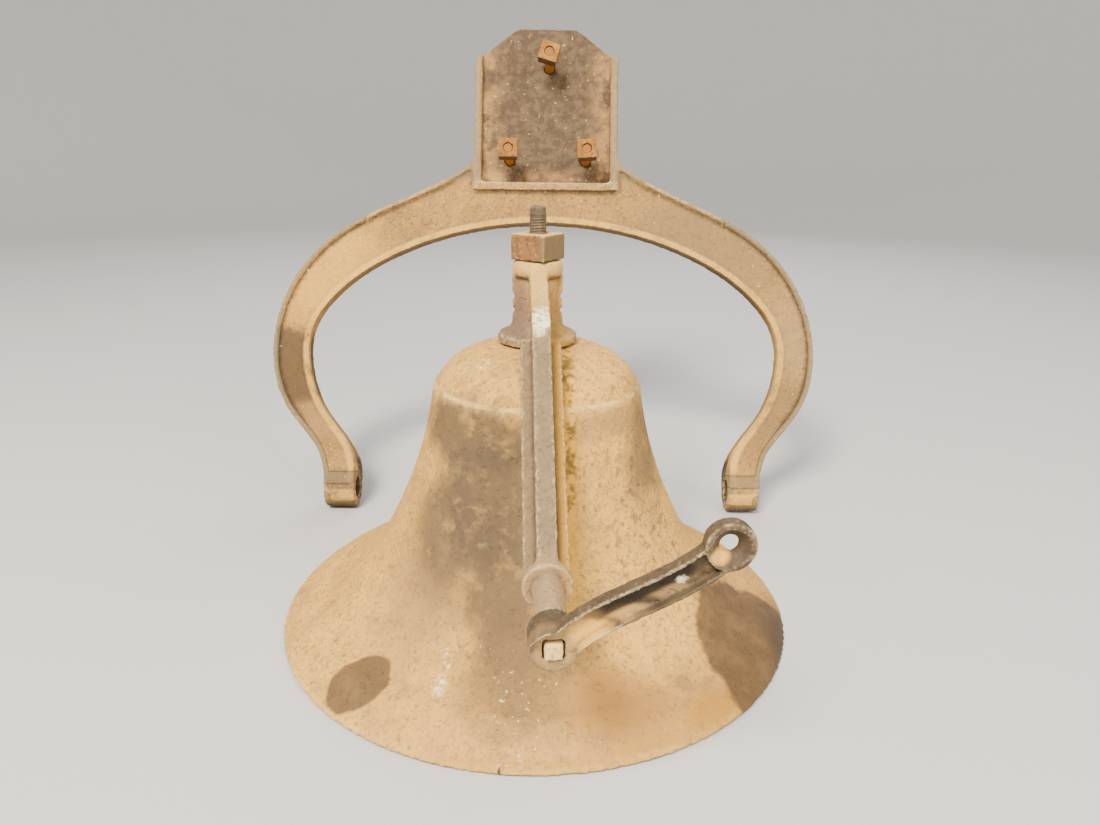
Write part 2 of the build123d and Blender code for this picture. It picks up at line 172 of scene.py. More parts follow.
def casting(node, material, voxel, rounds, sink, lump=0.012, seed=1, reshape=None, chips=0.0):
    """A piece that stands for a CAD node: the same shape with the soft edges and uneven skin of a casting.

    rounds softens the edges, sink is how deep the unevenness goes, always inwards, lump is its size, and
    chips is how deep the edges are nibbled. Each vertex keeps its relief: above zero on edges, below zero
    in hollows, in millimetres.
    """
    mesh = reskinned(node, voxel)
    edges = read(mesh, "edges", "vertices", 2, np.int32)
    places = read(mesh, "vertices", "co", 3)
    if reshape:
        places = reshape(places, read(mesh, "vertices", "normal", 3))
    places = smoothed(places, edges, rounds)
    mesh.vertices.foreach_set("co", places.astype(np.float32).ravel())
    mesh.update()
    normals = read(mesh, "vertices", "normal", 3)
    coarse = np.clip(roughness_field(places, lump, seed), 0, 1)
    fine = np.clip(roughness_field(places, lump / 4, seed + 1), 0, 1)
    sharp = ((places - smoothed(places, edges, SHARP_ROUNDS)) * normals).sum(1)
    nibble = chips * np.clip(sharp / SHARP, 0, 1) * fine
    places = places - normals * (sink * (COARSE * coarse + FINE * fine) + nibble)[:, None]
    far = smoothed(places, edges, RELIEF_ROUNDS)
    relief = ((places - far) * normals).sum(1) / MM
    mesh.vertices.foreach_set("co", places.astype(np.float32).ravel())
    attribute = mesh.attributes.new("relief", "FLOAT", "POINT")
    attribute.data.foreach_set("value", relief.astype(np.float32))
    mesh.polygons.foreach_set("use_smooth", [True] * len(mesh.polygons))
    mesh.materials.clear()
    mesh.materials.append(material)
    mesh.update()
    piece = bpy.data.objects.new(node + "_skin", mesh)
    bpy.context.scene.collection.objects.link(piece)
    body = frame["nodes"][node]["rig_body"]
    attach(piece, body)
    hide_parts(node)
    return piece


# --- materials ----------------------------------------------------------------------------------
# Colours are linear.
PALE = (0.85, 0.56, 0.17)
GOLD = (0.86, 0.47, 0.085)
TAN = (0.60, 0.33, 0.08)
DULL = (0.36, 0.205, 0.08)
BROWN = (0.185, 0.105, 0.047)
GREY = (0.120, 0.080, 0.043)
UMBER = (0.05, 0.032, 0.018)
ORANGE = (0.52, 0.25, 0.03)
RUST = (0.33, 0.135, 0.035)
WHITE = (0.95, 0.84, 0.52)


class Paint:
    """Builds one procedural material. Patterns lie in the part's own frame, and sizes are in metres."""

    def __init__(self, name):
        self.material = bpy.data.materials.new(name)
        self.material.use_nodes = True
        self.tree = self.material.node_tree
        self.shader = self.tree.nodes["Principled BSDF"]
        self.shader.inputs["Specular IOR Level"].default_value = 0.28
        where = self.tree.nodes.new("ShaderNodeTexCoord")
        self.place = where.outputs["Object"]
        self.x, self.y, self.z = self.add("SeparateXYZ", {0: self.place}).outputs
        self.up = self.add("SeparateXYZ", {0: where.outputs["Normal"]}).outputs[2]
        self.relief = self.value("relief")

    def add(self, kind, inputs=None, **settings):
        node = self.tree.nodes.new("ShaderNode" + kind)
        for key, value in settings.items():
            setattr(node, key, value)
        for key, value in (inputs or {}).items():
            self.feed(node.inputs[key], value)
        return node

    def feed(self, socket, value):
        """Links another socket to this one, or sets its value."""
        if isinstance(value, bpy.types.NodeSocket):
            self.tree.links.new(value, socket)
        elif socket.type == "RGBA" and len(value) == 3:
            socket.default_value = (*value, 1.0)
        else:
            socket.default_value = value

    def value(self, attribute):
        """A number that each vertex keeps."""
        return self.add("Attribute", attribute_name=attribute).outputs["Fac"]

    def maths(self, operation, a, b=0.0):
        return self.add("Math", {0: a, 1: b}, operation=operation).outputs[0]

    def along(self, origin, direction):
        """How far each place lies from the origin along a direction."""
        away = self.add("VectorMath", {0: self.place, 1: origin}, operation="SUBTRACT").outputs[0]
        return self.add("VectorMath", {0: away, 1: direction}, operation="DOT_PRODUCT").outputs["Value"]

    def noise(self, size, detail=3.0, seed=0.0, stretch=None):
        place = self.place
        if stretch:
            place = self.add("VectorMath", {0: place, 1: stretch}, operation="MULTIPLY").outputs[0]
        values = {"Vector": place, "W": seed, "Scale": 1 / size, "Detail": detail, "Roughness": 0.6}
        return self.add("TexNoise", values, noise_dimensions="4D").outputs[0]

    def band(self, value, low, high):
        """0 at low and 1 at high, smooth between them."""
        values = {"Value": value, "From Min": low, "From Max": high}
        return self.add("MapRange", values, interpolation_type="SMOOTHSTEP").outputs[0]

    def specks(self, size, share, seed):
        """Small scattered specks: 1 inside each."""
        return self.band(self.noise(size, 1.0, seed), share, share + 0.03)

    def both(self, *values):
        """The product of several masks or amounts."""
        product = values[0]
        for value in values[1:]:
            product = self.maths("MULTIPLY", product, value)
        return product

    def mix(self, a, b, amount, how="MIX"):
        node = self.add("Mix", data_type="RGBA", blend_type=how)
        self.feed(node.inputs[0], amount)
        self.feed(node.inputs[6], a)
        self.feed(node.inputs[7], b)
        return node.outputs[2]

    def spot(self, centre, radii, soft=0.3, wobble=0.5, size=0.02, seed=0.0):
        """A patch about a centre: 1 inside and 0 outside, with an uneven edge."""
        away = self.add("VectorMath", {0: self.place, 1: centre}, operation="SUBTRACT").outputs[0]
        shrink = tuple(1 / r for r in radii)
        away = self.add("VectorMath", {0: away, 1: shrink}, operation="MULTIPLY").outputs[0]
        distance = self.add("VectorMath", {0: away}, operation="LENGTH").outputs["Value"]
        edge = self.maths("MULTIPLY", self.maths("SUBTRACT", self.noise(size, 4.0, seed), 0.5), wobble)
        return self.band(self.maths("ADD", distance, edge), 1 + soft, 1 - soft)

    def bumps(self, layers, under=None):
        """Bump from several (height, depth) layers, one over the other."""
        normal = under
        for height, depth in layers:
            values = {"Height": height, "Distance": depth, "Strength": 1.0}
            if normal is not None:
                values["Normal"] = normal
            normal = self.add("Bump", values).outputs[0]
        self.feed(self.shader.inputs["Normal"], normal)

    def finish(self, colour, roughness):
        self.feed(self.shader.inputs["Base Color"], colour)
        self.feed(self.shader.inputs["Roughness"], roughness)
        return self.material


def iron_base(paint, dust, body, dark, seed=0.0, light=PALE):
    """The mottled skin of old cast iron: dust over rust, with dark and pale grains."""
    blotch = paint.band(paint.noise(0.045, 4.0, seed), 0.36, 0.62)
    mottle = paint.band(paint.noise(0.011, 4.0, seed + 1), 0.36, 0.64)
    grain = paint.noise(0.0028, 4.0, seed + 2)
    colour = paint.mix(body, dust, paint.maths("ADD", paint.both(blotch, 0.5), paint.both(mottle, 0.5)))
    colour = paint.mix(colour, dark, paint.both(paint.band(grain, 0.50, 0.30), 0.7))
    colour = paint.mix(colour, light, paint.both(paint.band(grain, 0.56, 0.74), 0.6))
    sand = paint.noise(0.0013, 3.0, seed + 3)
    return paint.mix(colour, dark, paint.both(paint.band(sand, 0.46, 0.32), 0.45))


def iron_edges(paint, colour, dark, light, amount=1.0):
    """Worn light edges and painted shade in hollows, from the mesh's relief."""
    wear = paint.both(
        paint.band(paint.relief, 0.06, 0.45), paint.band(paint.noise(0.006, 3.0, 9.0), 0.3, 0.55),
    )
    # painted shade: darker where the surface lies in a hollow
    hollow_shade = paint.band(paint.relief, -0.05, -0.7)
    colour = paint.mix(colour, dark, paint.both(hollow_shade, 0.85 * amount))
    return paint.mix(colour, light, paint.both(wear, 0.75 * amount))


def shaded_underneath(paint, colour, dark, amount=0.8):
    """Painted shade on what faces down. Dust falls on what faces up, so what faces down is also bare."""
    return paint.mix(colour, dark, paint.both(paint.band(paint.up, -0.12, -0.75), amount))


def iron_bumps(paint, depth=1.0):
    """Sandy casting grain with scattered pits."""
    pits = paint.band(paint.noise(0.0045, 2.0, 21.0), 0.34, 0.42)
    paint.bumps([
        (paint.noise(0.009, 4.0, 22.0), 0.0012 * depth),
        (pits, 0.0005 * depth),
        (paint.noise(0.0016, 3.0, 23.0), 0.0006 * depth),
    ])


def bell_paint():
    """Golden dust over brown iron, with grey stains, two bare patches, white drips and specks."""
    paint = Paint("bell_iron")
    colour = iron_base(paint, GOLD, TAN, BROWN)
    low = paint.both(paint.band(paint.z, 0.040, 0.012), paint.band(paint.x, -0.12, -0.03))
    colour = paint.mix(colour, (0.52, 0.27, 0.09), paint.both(low, 0.5))
    zones = [
        # centre, radii, colour, strength, softness
        ((-78, -98, 60), (36, 44, 44), DULL, 0.62, 0.6),
        ((-44, -62, 166), (50, 60, 24), GREY, 0.90, 0.35),
        ((-60, -76, 100), (30, 44, 42), (0.14, 0.092, 0.045), 0.90, 0.6),
        ((-31, -82, 128), (33, 50, 44), GREY, 0.92, 0.4),
        ((-19, -108, 80), (28, 45, 42), GREY, 0.88, 0.45),
        ((-6, -150, 38), (40, 46, 30), GREY, 0.72, 0.5),
        ((-12, -128, 46), (22, 40, 20), BROWN, 0.45, 0.5),
        ((56, -158, 26), (36, 24, 20), (0.55, 0.27, 0.065), 0.85, 0.3),
        ((128, -144, 8), (34, 22, 10), ORANGE, 0.75, 0.5),
        ((75, -180, 4), (50, 20, 7), ORANGE, 0.50, 0.5),
        ((-20, -193, 3), (60, 12, 5), ORANGE, 0.45, 0.5),
        ((74, -22, 138), (17, 40, 50), GREY, 0.75, 0.5),
        ((40, -72, 176), (30, 40, 10), DULL, 0.6, 0.5),
        ((150, -30, 30), (30, 60, 22), DULL, 0.7, 0.6),
    ]
    for index, (centre, radii, shade, strength, soft) in enumerate(zones):
        patch = paint.spot(millimetres(*centre), millimetres(*radii), soft, 1.1, 0.022, index)
        colour = paint.mix(colour, shade, paint.both(patch, strength))
    clouds = paint.band(paint.noise(0.024, 5.0, 38.0), 0.55, 0.70)
    colour = paint.mix(colour, DULL, paint.both(clouds, 0.5))
    lighter = paint.both(
        paint.band(paint.noise(0.014, 5.0, 35.0), 0.52, 0.72), paint.band(paint.z, 0.05, 0.08),
    )
    colour = paint.mix(colour, TAN, paint.both(lighter, 0.5))
    beside_arm = paint.along(on_yoke(20, 0, 0), YOKE_ACROSS)
    strip = paint.both(
        paint.band(beside_arm, -0.010, -0.006), paint.band(beside_arm, 0.006, 0.001),
        paint.band(paint.y, 0.0, -0.02), paint.band(paint.z, 0.055, 0.08),
    )
    dark = paint.both(paint.band(paint.noise(0.006, 4.0, 34.0), 0.45, 0.6), paint.band(paint.z, 0.095, 0.135))
    wet = paint.mix((0.82, 0.42, 0.05), (0.22, 0.13, 0.02), dark)
    colour = paint.mix(colour, wet, paint.both(strip, 0.9))
    right = paint.spot(millimetres(86, -70, 104), millimetres(52, 60, 72), 0.4, 0.6, 0.02, 36.0)
    freckles = paint.band(paint.noise(0.0075, 3.0, 31.0), 0.55, 0.63)
    colour = paint.mix(colour, GREY, paint.both(freckles, right, 0.55))
    crease = paint.both(
        paint.band(paint.z, CREASE_Z - 2.0 * MM, CREASE_Z - 0.8 * MM),
        paint.band(paint.z, CREASE_Z + 2.0 * MM, CREASE_Z + 0.8 * MM),
    )
    broken = paint.band(paint.noise(0.012, 4.0, 33.0), 0.40, 0.60)
    colour = paint.mix(colour, PALE, paint.both(crease, broken, 0.8))
    dome = paint.both(
        paint.band(paint.z, CREASE_Z - 2.2 * MM, CREASE_Z + 2.8 * MM),
        paint.band(paint.noise(0.006, 3.0, 37.0), 0.56, 0.64),
    )
    colour = paint.mix(colour, RUST, paint.both(dome, 0.6))
    colour = iron_edges(paint, colour, BROWN, PALE, 0.4)
    bare = [
        ((-114, -131.5, 18), (22, 18.5, 90), (0.125, 0.072, 0.032)),
        ((168, -82, 18), (54, 67, 90), (0.095, 0.052, 0.023)),
    ]
    patches = 0.0
    for index, (centre, radii, shade) in enumerate(bare):
        patch = paint.spot(millimetres(*centre), millimetres(*radii), 0.06, 0.30, 0.016, 40 + index)
        mottle = paint.both(paint.band(paint.noise(0.016, 5.0, 44.0), 0.40, 0.65), 0.6)
        stain = paint.mix(shade, (0.20, 0.11, 0.042), mottle)
        colour = paint.mix(colour, stain, paint.both(patch, 0.92))
        patches = paint.maths("MAXIMUM", patches, patch)
    edge = paint.spot(millimetres(192, -70, 6), millimetres(22, 60, 20), 0.5, 0.6, 0.02, 46.0)
    colour = paint.mix(colour, (0.07, 0.044, 0.024), paint.both(edge, 0.85))
    pale = paint.spot(millimetres(160, -4, 26), millimetres(10, 16, 8), 0.3, 0.7, 0.01, 49.0)
    colour = paint.mix(colour, TAN, paint.both(pale, 0.8))
    ring = paint.spot(millimetres(100, -133, 22), millimetres(6, 6, 8), 0.2, 0.5, 0.008, 47.0)
    colour = paint.mix(colour, DULL, paint.both(ring, 0.7))
    # painted shade of a small nick in the front rim, too narrow for the mesh to cut
    nick_shade = paint.spot(millimetres(-17.6, -196, 0), millimetres(1.2, 6, 7), 0.4, 0.3, 0.004, 48.0)
    colour = paint.mix(colour, UMBER, paint.both(nick_shade, 0.9))
    drips = [
        # centre, radii, how solid the white is
        ((-36, -38, 210), (8, 6, 8), 0.55),
        ((-54, -133, 38), (2.6, 9, 9), 0.75),
        ((-59, -147, 28), (4.5, 7, 6), 1.0),
        ((-2, -172, 20), (22, 30, 24), 0.25),
        ((4, -165, 26), (38, 46, 40), 0.0),
        ((-24, -140, 40), (12, 14, 14), 0.2),
    ]
    for index, (centre, radii, solid) in enumerate(drips):
        area = paint.spot(millimetres(*centre), millimetres(*radii), 0.5, 1.0, 0.006, 50 + index)
        flecks = paint.band(paint.noise(0.0034, 3.0, 55.0 + index), 0.665 - 0.19 * solid, 0.74 - 0.19 * solid)
        colour = paint.mix(colour, WHITE, paint.both(area, flecks, 0.9))
    # painted shade on what faces down
    colour = shaded_underneath(paint, colour, BROWN)
    iron_bumps(paint)
    rough = paint.maths("SUBTRACT", 0.88, paint.both(patches, 0.28))
    return paint.finish(colour, rough)


def hanger_paint():
    """Tan dust on the web, greyer rims, a purplish pocket and feet darker towards their bottoms; painted
    highlight along the inner cove, painted shade in the outer groove and on the feet's inner sides.
    """
    paint = Paint("hanger_iron")
    colour = iron_base(
        paint, (0.47, 0.262, 0.066), (0.30, 0.172, 0.052), (0.12, 0.07, 0.03), 60.0, (0.74, 0.48, 0.16),
    )
    zones = [
        # centre, radii, colour, strength, softness
        (on_hanger(-225, -6, 215), (60, 40, 60), GOLD, 0.55, 0.6),
        (on_hanger(170, 0, 250), (90, 60, 60), (0.25, 0.165, 0.07), 0.65, 0.5),
        (on_hanger(262, 0, 160), (40, 60, 50), (0.42, 0.27, 0.12), 0.5, 0.5),
        (on_hanger(-262, 0, 116), (48, 60, 44), (0.115, 0.068, 0.03), 0.92, 0.18),
        (on_hanger(-235, 0, 66), (30, 60, 20), DULL, 0.7, 0.3),
        (on_hanger(240, 0, 70), (40, 60, 40), (0.24, 0.15, 0.06), 0.65, 0.4),
        # darker towards the bottoms of the feet
        (on_hanger(-200, 0, -4), (60, 60, 26), BROWN, 0.75, 0.4),
        (on_hanger(-200, 10, -21), (60, 60, 13), UMBER, 0.85, 0.4),
        (on_hanger(200, 10, -21), (60, 60, 9), UMBER, 0.7, 0.4),
        # painted shade on the inner sides of both feet
        (on_hanger(-184, 0, 4), (6, 40, 34), UMBER, 0.9, 0.3),
        (on_hanger(186, 0, 4), (5, 40, 34), UMBER, 0.95, 0.3),
    ]
    for index, (centre, radii, shade, strength, soft) in enumerate(zones):
        patch = paint.spot(centre, millimetres(*radii), soft, 0.8, 0.03, 70 + index)
        colour = paint.mix(colour, shade, paint.both(patch, strength))
    colour = iron_edges(paint, colour, UMBER, (0.52, 0.39, 0.22), 0.9)
    front = paint.band(paint.along(BEARING, POST_NORMAL), 0.003, 0.005)
    # painted highlight along the up-facing cove inside the inner rim
    cove = paint.both(paint.band(paint.value("from_inner"), 8.0, 5.0), front)
    uneven = paint.band(paint.noise(0.012, 4.0, 87.0), 0.25, 0.55)
    colour = paint.mix(colour, (0.80, 0.46, 0.10), paint.both(cove, uneven, 0.8))
    rim = paint.both(paint.band(paint.value("from_outer"), 5.6, 4.6), front)
    colour = paint.mix(colour, (0.24, 0.17, 0.085), paint.both(rim, 0.75))
    # painted shade in the groove inside the outer rim, as cast by the rim
    groove = paint.both(
        paint.band(paint.value("from_outer"), 4.6, 5.4), paint.band(paint.value("from_outer"), 7.0, 6.0),
        front,
    )
    colour = paint.mix(colour, UMBER, paint.both(groove, 0.6))
    side = paint.maths("ABSOLUTE", paint.along(BEARING, Vector((1, 0, 0))))
    depth = paint.along(BEARING, -POST_NORMAL)
    height = paint.along(BEARING, HANGER_UP)
    above = paint.band(height, LEDGE - 0.5 * MM, LEDGE + 0.8 * MM)
    pocket = paint.both(
        above, paint.band(side, POCKET_HALF_W + 0.5 * MM, POCKET_HALF_W - 0.5 * MM),
        paint.band(depth, -0.006, -0.003),
    )
    ochre = paint.both(
        paint.band(paint.noise(0.016, 5.0, 83.0), 0.40, 0.62),
        paint.maths(
            "ADD", paint.band(side, 0.036, 0.062),
            paint.both(paint.band(height, LEDGE + 19 * MM, LEDGE + 5 * MM), 0.8),
        ),
    )
    mottle = paint.band(paint.noise(0.008, 4.0, 84.0), 0.4, 0.6)
    floor = paint.mix((0.10, 0.061, 0.033), (0.155, 0.098, 0.052), mottle)
    floor = paint.mix(floor, (0.46, 0.26, 0.085), paint.both(ochre, 0.7))
    floor = paint.mix(floor, PALE, paint.both(paint.specks(0.0036, 0.71, 85.0), 0.6))
    colour = paint.mix(colour, floor, pocket)
    frame_band = paint.both(
        above, paint.band(side, POCKET_HALF_W + 0.5 * MM, POCKET_HALF_W + 2 * MM),
        paint.band(depth, -0.004, -0.007),
    )
    colour = paint.mix(colour, (0.27, 0.185, 0.09), paint.both(frame_band, 0.7))
    ledge = paint.both(
        paint.band(height, LEDGE - 2 * MM, LEDGE - 1 * MM),
        paint.band(height, LEDGE + 2 * MM, LEDGE + 0.8 * MM),
        paint.band(side, POCKET_HALF_W + 1 * MM, POCKET_HALF_W - 2 * MM),
        paint.band(depth, 0.003, 0.001), paint.band(paint.up, 0.35, 0.7),
    )
    colour = paint.mix(colour, (0.92, 0.60, 0.16), paint.both(ledge, 0.95))
    colour = paint.mix(colour, WHITE, paint.both(paint.specks(0.003, 0.72, 82.0), 0.5))
    # painted shade on what faces down
    colour = shaded_underneath(paint, colour, UMBER, 0.7)
    iron_bumps(paint)
    rough = paint.add("MapRange", {"Value": paint.noise(0.01), "To Min": 0.72, "To Max": 0.95})
    return paint.finish(colour, rough.outputs[0])


def yoke_paint():
    """Grey-brown iron: tan above the bend, with a splash of white paint on it and ochre beside it."""
    paint = Paint("yoke_iron")
    colour = iron_base(paint, (0.33, 0.22, 0.088), (0.20, 0.135, 0.06), UMBER, 90.0, (0.62, 0.44, 0.19))
    across = paint.along(Vector((0, 0, 0)), YOKE_ACROSS)
    above = paint.band(paint.z, 0.240, 0.262)
    colour = paint.mix(colour, (0.74, 0.42, 0.11), paint.both(above, 0.85))
    beside = paint.maths("ABSOLUTE", across)
    flange = paint.both(
        paint.band(beside, RIB_HALF_W + 0.4 * MM, RIB_HALF_W + 1.4 * MM), paint.band(paint.y, -0.02, -0.03),
    )
    colour = paint.mix(colour, (0.25, 0.16, 0.075), paint.both(flange, 0.6))
    ochre = paint.both(
        paint.band(across, RIB_HALF_W + 0.2 * MM, RIB_HALF_W + 1.4 * MM),
        paint.band(paint.z, 0.29, 0.25), paint.band(paint.y, 0.0, -0.02),
    )
    colour = paint.mix(colour, ORANGE, paint.both(ochre, 0.8))
    column = paint.both(
        paint.band(paint.z, 0.221, 0.228), paint.band(paint.z, 0.269, 0.265),
        paint.band(paint.y, -0.030, -0.022),
    )
    # painted shade: darker purple-brown on the column's left side
    left = paint.both(column, paint.band(across, -0.004, -0.010))
    colour = paint.mix(colour, (0.20, 0.118, 0.072), paint.both(left, 0.75))
    right = paint.both(column, paint.band(across, 0.006, 0.011))
    colour = paint.mix(colour, (0.42, 0.235, 0.06), paint.both(right, 0.7))
    rib = paint.both(
        paint.band(beside, RIB_HALF_W + 0.8 * MM, RIB_HALF_W - 0.2 * MM), paint.band(paint.z, 0.246, 0.232),
        paint.band(paint.y, -0.055, -0.072),
    )
    colour = paint.mix(colour, (0.21, 0.15, 0.085), paint.both(rib, 0.6))
    end = paint.band(paint.y, -0.160, -0.176)
    colour = paint.mix(colour, (0.44, 0.275, 0.12), paint.both(end, 0.6))
    colour = iron_edges(paint, colour, UMBER, (0.66, 0.50, 0.28), 0.9)
    splash = paint.spot(on_yoke(0, -66, 250), millimetres(8, 12, 11), 0.35, 1.5, 0.007, 95.0)
    ragged = paint.band(paint.noise(0.004, 3.0, 96.0), 0.36, 0.52)
    colour = paint.mix(colour, WHITE, paint.both(splash, ragged))
    tip = paint.both(
        paint.band(paint.y, SQUARE_END + 2.4 * MM, SQUARE_END + 1.8 * MM),
        paint.band(paint.noise(0.004, 3.0, 97.0), 0.35, 0.5),
    )
    colour = paint.mix(colour, (0.88, 0.62, 0.22), paint.both(tip, 0.9))
    # painted shade on what faces down
    colour = shaded_underneath(paint, colour, UMBER)
    iron_bumps(paint)
    return paint.finish(colour, 0.78)


def crank_paint():
    """Dark iron with light worn edges; dust with painted light at the foot of its channel and in its eye;
    painted shadow under the channel's upper flange.
    """
    paint = Paint("crank_iron")
    colour = iron_base(paint, (0.115, 0.074, 0.034), (0.065, 0.042, 0.022), UMBER, 110.0, (0.36, 0.26, 0.13))
    # dust with painted light where the channel's lower wall, the hub and the eye face up
    dust_and_lit_spots = [
        # centre, radii, colour, strength
        (on_yoke(18, -238, 127), (13, 10, 8), GOLD, 0.9),
        (on_yoke(38, -238, 139), (20, 10, 4), (0.56, 0.33, 0.11), 0.9),
        (on_yoke(60, -238, 150), (15, 10, 4), (0.38, 0.24, 0.09), 0.7),
        (on_yoke(79, -239, 170), (5, 9, 4), GOLD, 0.85),
        (on_yoke(0, -238, 117), (12, 10, 12), (0.46, 0.28, 0.105), 0.85),
    ]
    for index, (centre, radii, shade, strength) in enumerate(dust_and_lit_spots):
        dust = paint.spot(centre, millimetres(*radii), 0.4, 0.6, 0.01, 115 + index)
        colour = paint.mix(colour, shade, paint.both(dust, strength))
    start = on_yoke(16, -238, 132.5)
    run, rise = 1000 * math.cos(CRANK_RISE), 1000 * math.sin(CRANK_RISE)
    along, up = paint.along(start, on_yoke(run, 0, rise)), paint.along(start, on_yoke(-rise, 0, run))
    # painted shadow of the upper flange over the channel's upper part
    channel_shadow = paint.both(
        paint.band(along, 0.002, 0.012), paint.band(along, 0.064, 0.056),
        paint.band(up, -0.0025, 0.0005), paint.band(up, 0.0074, 0.0064),
        paint.band(paint.along(start, on_yoke(0, -1000, 0)), 0.0035, 0.0020),
    )
    colour = paint.mix(colour, (0.022, 0.014, 0.008), paint.both(channel_shadow, 0.92))
    colour = iron_edges(paint, colour, UMBER, (0.50, 0.38, 0.21), 1.1)
    lower = paint.both(paint.band(up, -0.0054, -0.0066), paint.band(along, 0.012, 0.024))
    colour = paint.mix(colour, (0.06, 0.04, 0.022), paint.both(lower, 0.85))
    fleck = paint.spot(on_yoke(62, -240, 156.5), millimetres(2.4, 8, 1.8), 0.5, 1.8, 0.002, 120.0)
    colour = paint.mix(colour, WHITE, paint.both(fleck, 0.95))
    # painted shade on what faces down
    colour = shaded_underneath(paint, colour, UMBER, 0.9)
    iron_bumps(paint, 0.8)
    return paint.finish(colour, 0.62)


def nut_paint(name, body, dust, side=None):
    """A rusty nut with dust on its upper faces."""
    paint = Paint(name)
    colour = iron_base(paint, tuple(1.5 * part for part in body), body, UMBER, 130.0)
    if side:
        colour = paint.mix(colour, side, paint.band(paint.x, -0.002, 0.004))
    colour = paint.mix(colour, dust, paint.both(paint.band(paint.up, 0.5, 0.9), 0.8))
    colour = iron_edges(paint, colour, UMBER, PALE, 0.7)
    # painted shade on what faces down
    colour = shaded_underneath(paint, colour, UMBER, 0.9)
    iron_bumps(paint, 0.7)
    return paint.finish(colour, 0.8)


def bolt_paint():
    """Dark oxidised steel."""
    paint = Paint("bolt_steel")
    colour = iron_base(paint, (0.135, 0.093, 0.052), (0.08, 0.053, 0.03), UMBER, 140.0, (0.4, 0.3, 0.18))
    colour = iron_edges(paint, colour, UMBER, (0.42, 0.32, 0.2), 0.8)
    colour = paint.mix(colour, (0.30, 0.115, 0.014), paint.both(paint.band(paint.y, 0.12, 0.16), 0.95))
    iron_bumps(paint, 0.5)
    return paint.finish(colour, 0.6)


def clapper_paint():
    """Dark rusted iron."""
    paint = Paint("clapper_iron")
    colour = iron_base(paint, (0.22, 0.12, 0.05), (0.10, 0.06, 0.035), UMBER, 150.0, (0.4, 0.25, 0.12))
    colour = iron_edges(paint, colour, UMBER, (0.36, 0.26, 0.15), 0.8)
    iron_bumps(paint)
    return paint.finish(colour, 0.75)


# --- pieces -------------------------------------------------------------------------------------
def hanger_view(places, normals):
    """Places and normals in the hanger's own directions, and the vertices of its inner and outer sides."""
    turn = np.array(TO_HANGER.to_3x3())
    spots, facing = (places - np.array(BEARING)) @ turn / MM, normals @ turn
    inwards = -(facing[:, 0] * spots[:, 0] + facing[:, 2] * (spots[:, 2] - ARCH_CENTRE))
    side = (np.abs(spots[:, 1]) < SIDE_DEPTH) & (np.abs(facing[:, 1]) < 0.5) & (spots[:, 2] < ARCH_TOP)
    return turn, spots, facing, side & (inwards > 0), side & (inwards < 0)


def tree_of(spots):
    """A search tree over places seen from the front."""
    tree = KDTree(len(spots))
    for index, spot in enumerate(spots):
        tree.insert((spot[0], spot[2], 0), index)
    tree.balance()
    return tree


def coved(places, normals):
    """Makes the step inside the hanger's inner rim a cove that faces up, and ramps the web's lower ends."""
    turn, spots, facing, inner, _ = hanger_view(places, normals)
    tree = tree_of(spots[inner])
    across, depth, height = spots.T
    front = (depth < -4.5) & (height > WEB_FROM - 1) & (height < ARCH_TOP + COVE_W)
    for index in np.flatnonzero(front):
        wanted = depth[index]
        away = tree.find((across[index], height[index], 0))[2]
        if away < COVE_W:
            along = min(max((away - COVE_LIP) / (COVE_W - COVE_LIP), 0), 1)
            share = min(max((height[index] - COVE_FROM) / COVE_FADE, 0), 1)
            wanted += (COVE_DEEP * (1 - (1 - along) ** 2) - RIM_FRONT - wanted) * share
        if height[index] < WEB_FROM + RAMP and facing[index, 1] < 0:
            ramp = COVE_DEEP * max(height[index] - WEB_FROM, 0) / RAMP - RIM_FRONT
            wanted = min(wanted, ramp)
        places[index] += turn[:, 1] * (wanted - depth[index]) * MM
    return places


def mark_sides(piece):
    """Each vertex of the hanger keeps its distance to the inner and to the outer side, in millimetres."""
    mesh = piece.data
    places, normals = read(mesh, "vertices", "co", 3), read(mesh, "vertices", "normal", 3)
    _, spots, _, inner, outer = hanger_view(places, normals)
    for name, side in (("from_inner", inner), ("from_outer", outer)):
        tree = tree_of(spots[side])
        away = [min(tree.find((spot[0], spot[2], 0))[2], FAR) for spot in spots]
        mesh.attributes.new(name, "FLOAT", "POINT").data.foreach_set("value", np.array(away, np.float32))


def threaded(places, normals):
    """Cuts a helical thread on the centre bolt's end, above its nut."""
    crest, depth, pitch, plain_end = 6.3 * MM, 0.8 * MM, 1.95 * MM, 7 * MM
    low, high = NUT_TOP + 0.5 * MM, STUD_TOP - plain_end
    radius = np.hypot(places[:, 0], places[:, 1])
    angle = np.arctan2(places[:, 1], places[:, 0])
    turn = (places[:, 2] / pitch - angle / (2 * math.pi)) % 1.0
    groove = 1 - np.abs(2 * turn - 1)
    on_thread = (places[:, 2] > low) & (places[:, 2] < high) & (radius > 0.6 * crest)
    wanted = crest - depth * groove
    scale = np.where(on_thread, wanted / np.maximum(radius, 1e-6), 1.0)
    places = places.copy()
    places[:, :2] *= scale[:, None]
    return places


